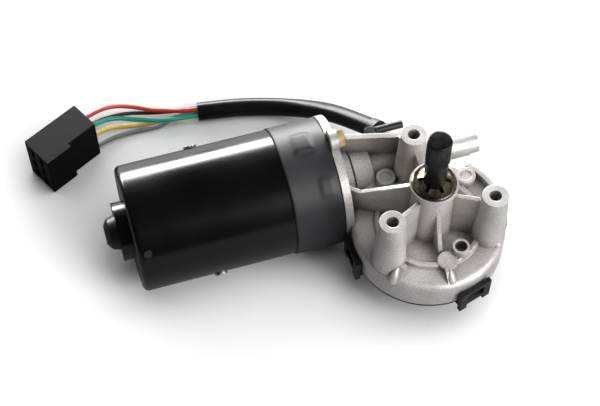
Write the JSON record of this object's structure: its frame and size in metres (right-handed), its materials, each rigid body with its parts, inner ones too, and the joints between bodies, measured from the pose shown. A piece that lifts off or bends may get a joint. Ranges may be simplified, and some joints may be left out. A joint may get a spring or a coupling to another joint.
{
  "type": "windscreen wiper motor",
  "caption": "Worm-drive wiper motor: steel can, ribbed die-cast gear housing with tall mounting posts, serrated output shaft and a sleeved lead with a plug.",
  "frame": {"origin": "on the output shaft's axis, in the plane of the mounting posts' end faces", "axes": "+Z out along the output shaft, +X along the armature axis from the motor can to the worm tube's end, +Y from the output shaft towards the armature axis"},
  "size_m": [0.2722, 0.2147, 0.1337],
  "materials": {
    "cast_aluminium": "as-cast satin",
    "black_enamel": "gloss black enamel",
    "blackened_steel": "blackened, oiled",
    "yellow_zinc": "yellow zinc plating",
    "bright_steel": "ground",
    "spring_bronze": "satin",
    "lamination_steel": "stacked laminations",
    "black_rubber": "matt",
    "grey_sleeve_rubber": "satin",
    "natural_nylon": "moulded",
    "contact_brass": "rolled",
    "copper": "enamelled wire",
    "sintered_bronze": "sintered, oil filled",
    "phenolic": "laminated sheet",
    "carbon": "pressed copper graphite",
    "plated_sheet": "zinc plated sheet",
    "black_pvc": "soft PVC",
    "black_nylon": "moulded",
    "red_pvc": "soft PVC",
    "brown_pvc": "soft PVC",
    "green_pvc": "soft PVC",
    "yellow_pvc": "soft PVC",
    "grey_pvc": "soft PVC"
  },
  "bodies": {
    "motor_base": {"gear_housing": "cast_aluminium", "shaft_seal": "black_rubber", "output_bush_upper": "sintered_bronze", "output_bush_lower": "sintered_bronze", "yoke": "black_enamel", "seal_sleeve": "grey_sleeve_rubber", "yoke_end_cap": "black_rubber", "drain_nipple": "black_rubber", "tie_screws": "yellow_zinc", "field_poles": "lamination_steel", "field_coils": "copper", "pole_screws": "bright_steel", "front_bush": "sintered_bronze", "tip_bush": "sintered_bronze", "end_bush": "sintered_bronze", "bush_retainer": "plated_sheet", "thrust_pad": "bright_steel", "thrust_screw": "bright_steel", "brush_plate": "phenolic", "brush_holders": "contact_brass", "brush_springs": "bright_steel", "cover_gasket": "black_rubber", "gear_cover": "black_nylon", "park_contacts": "contact_brass", "cable_grommet": "black_rubber", "vent_tube": "black_rubber", "cable_sleeve": "black_pvc", "wire_red": "red_pvc", "wire_brown": "brown_pvc", "wire_green": "green_pvc", "wire_yellow": "yellow_pvc", "wire_grey": "grey_pvc", "connector_housing": "black_nylon", "connector_terminals": "contact_brass"},
    "armature": {"armature_shaft": "bright_steel", "armature_core": "lamination_steel", "armature_windings": "copper", "commutator": "copper"},
    "output": {"output_shaft": "blackened_steel", "worm_wheel": "natural_nylon", "park_disc": "contact_brass", "thrust_washer": "bright_steel", "star_washer": "spring_bronze"},
    "brush_positive_body": {"brush_positive": "carbon"},
    "brush_negative_body": {"brush_negative": "carbon"}
  },
  "joints": [
    {"name": "armature_spin", "type": "hinge", "parent": "motor_base", "child": "armature", "pos_m": [0, 0.0505, -0.049], "axis": [1, 0, 0], "continuous": true},
    {"name": "output_spin", "type": "hinge", "parent": "motor_base", "child": "output", "pos_m": [0, 0, 0], "axis": [0, 0, 1], "continuous": true},
    {"name": "brush_positive_slide", "type": "slide", "parent": "motor_base", "child": "brush_positive_body", "axis": [0, -0.5299, 0.848], "range_m": [0, 0.0007]},
    {"name": "brush_negative_slide", "type": "slide", "parent": "motor_base", "child": "brush_negative_body", "axis": [0, 0.5299, -0.848], "range_m": [0, 0.0007]}
  ],
  "couplings": [
    {"joint": "output_spin", "follows": "armature_spin", "ratio": 0.017857}
  ]
}
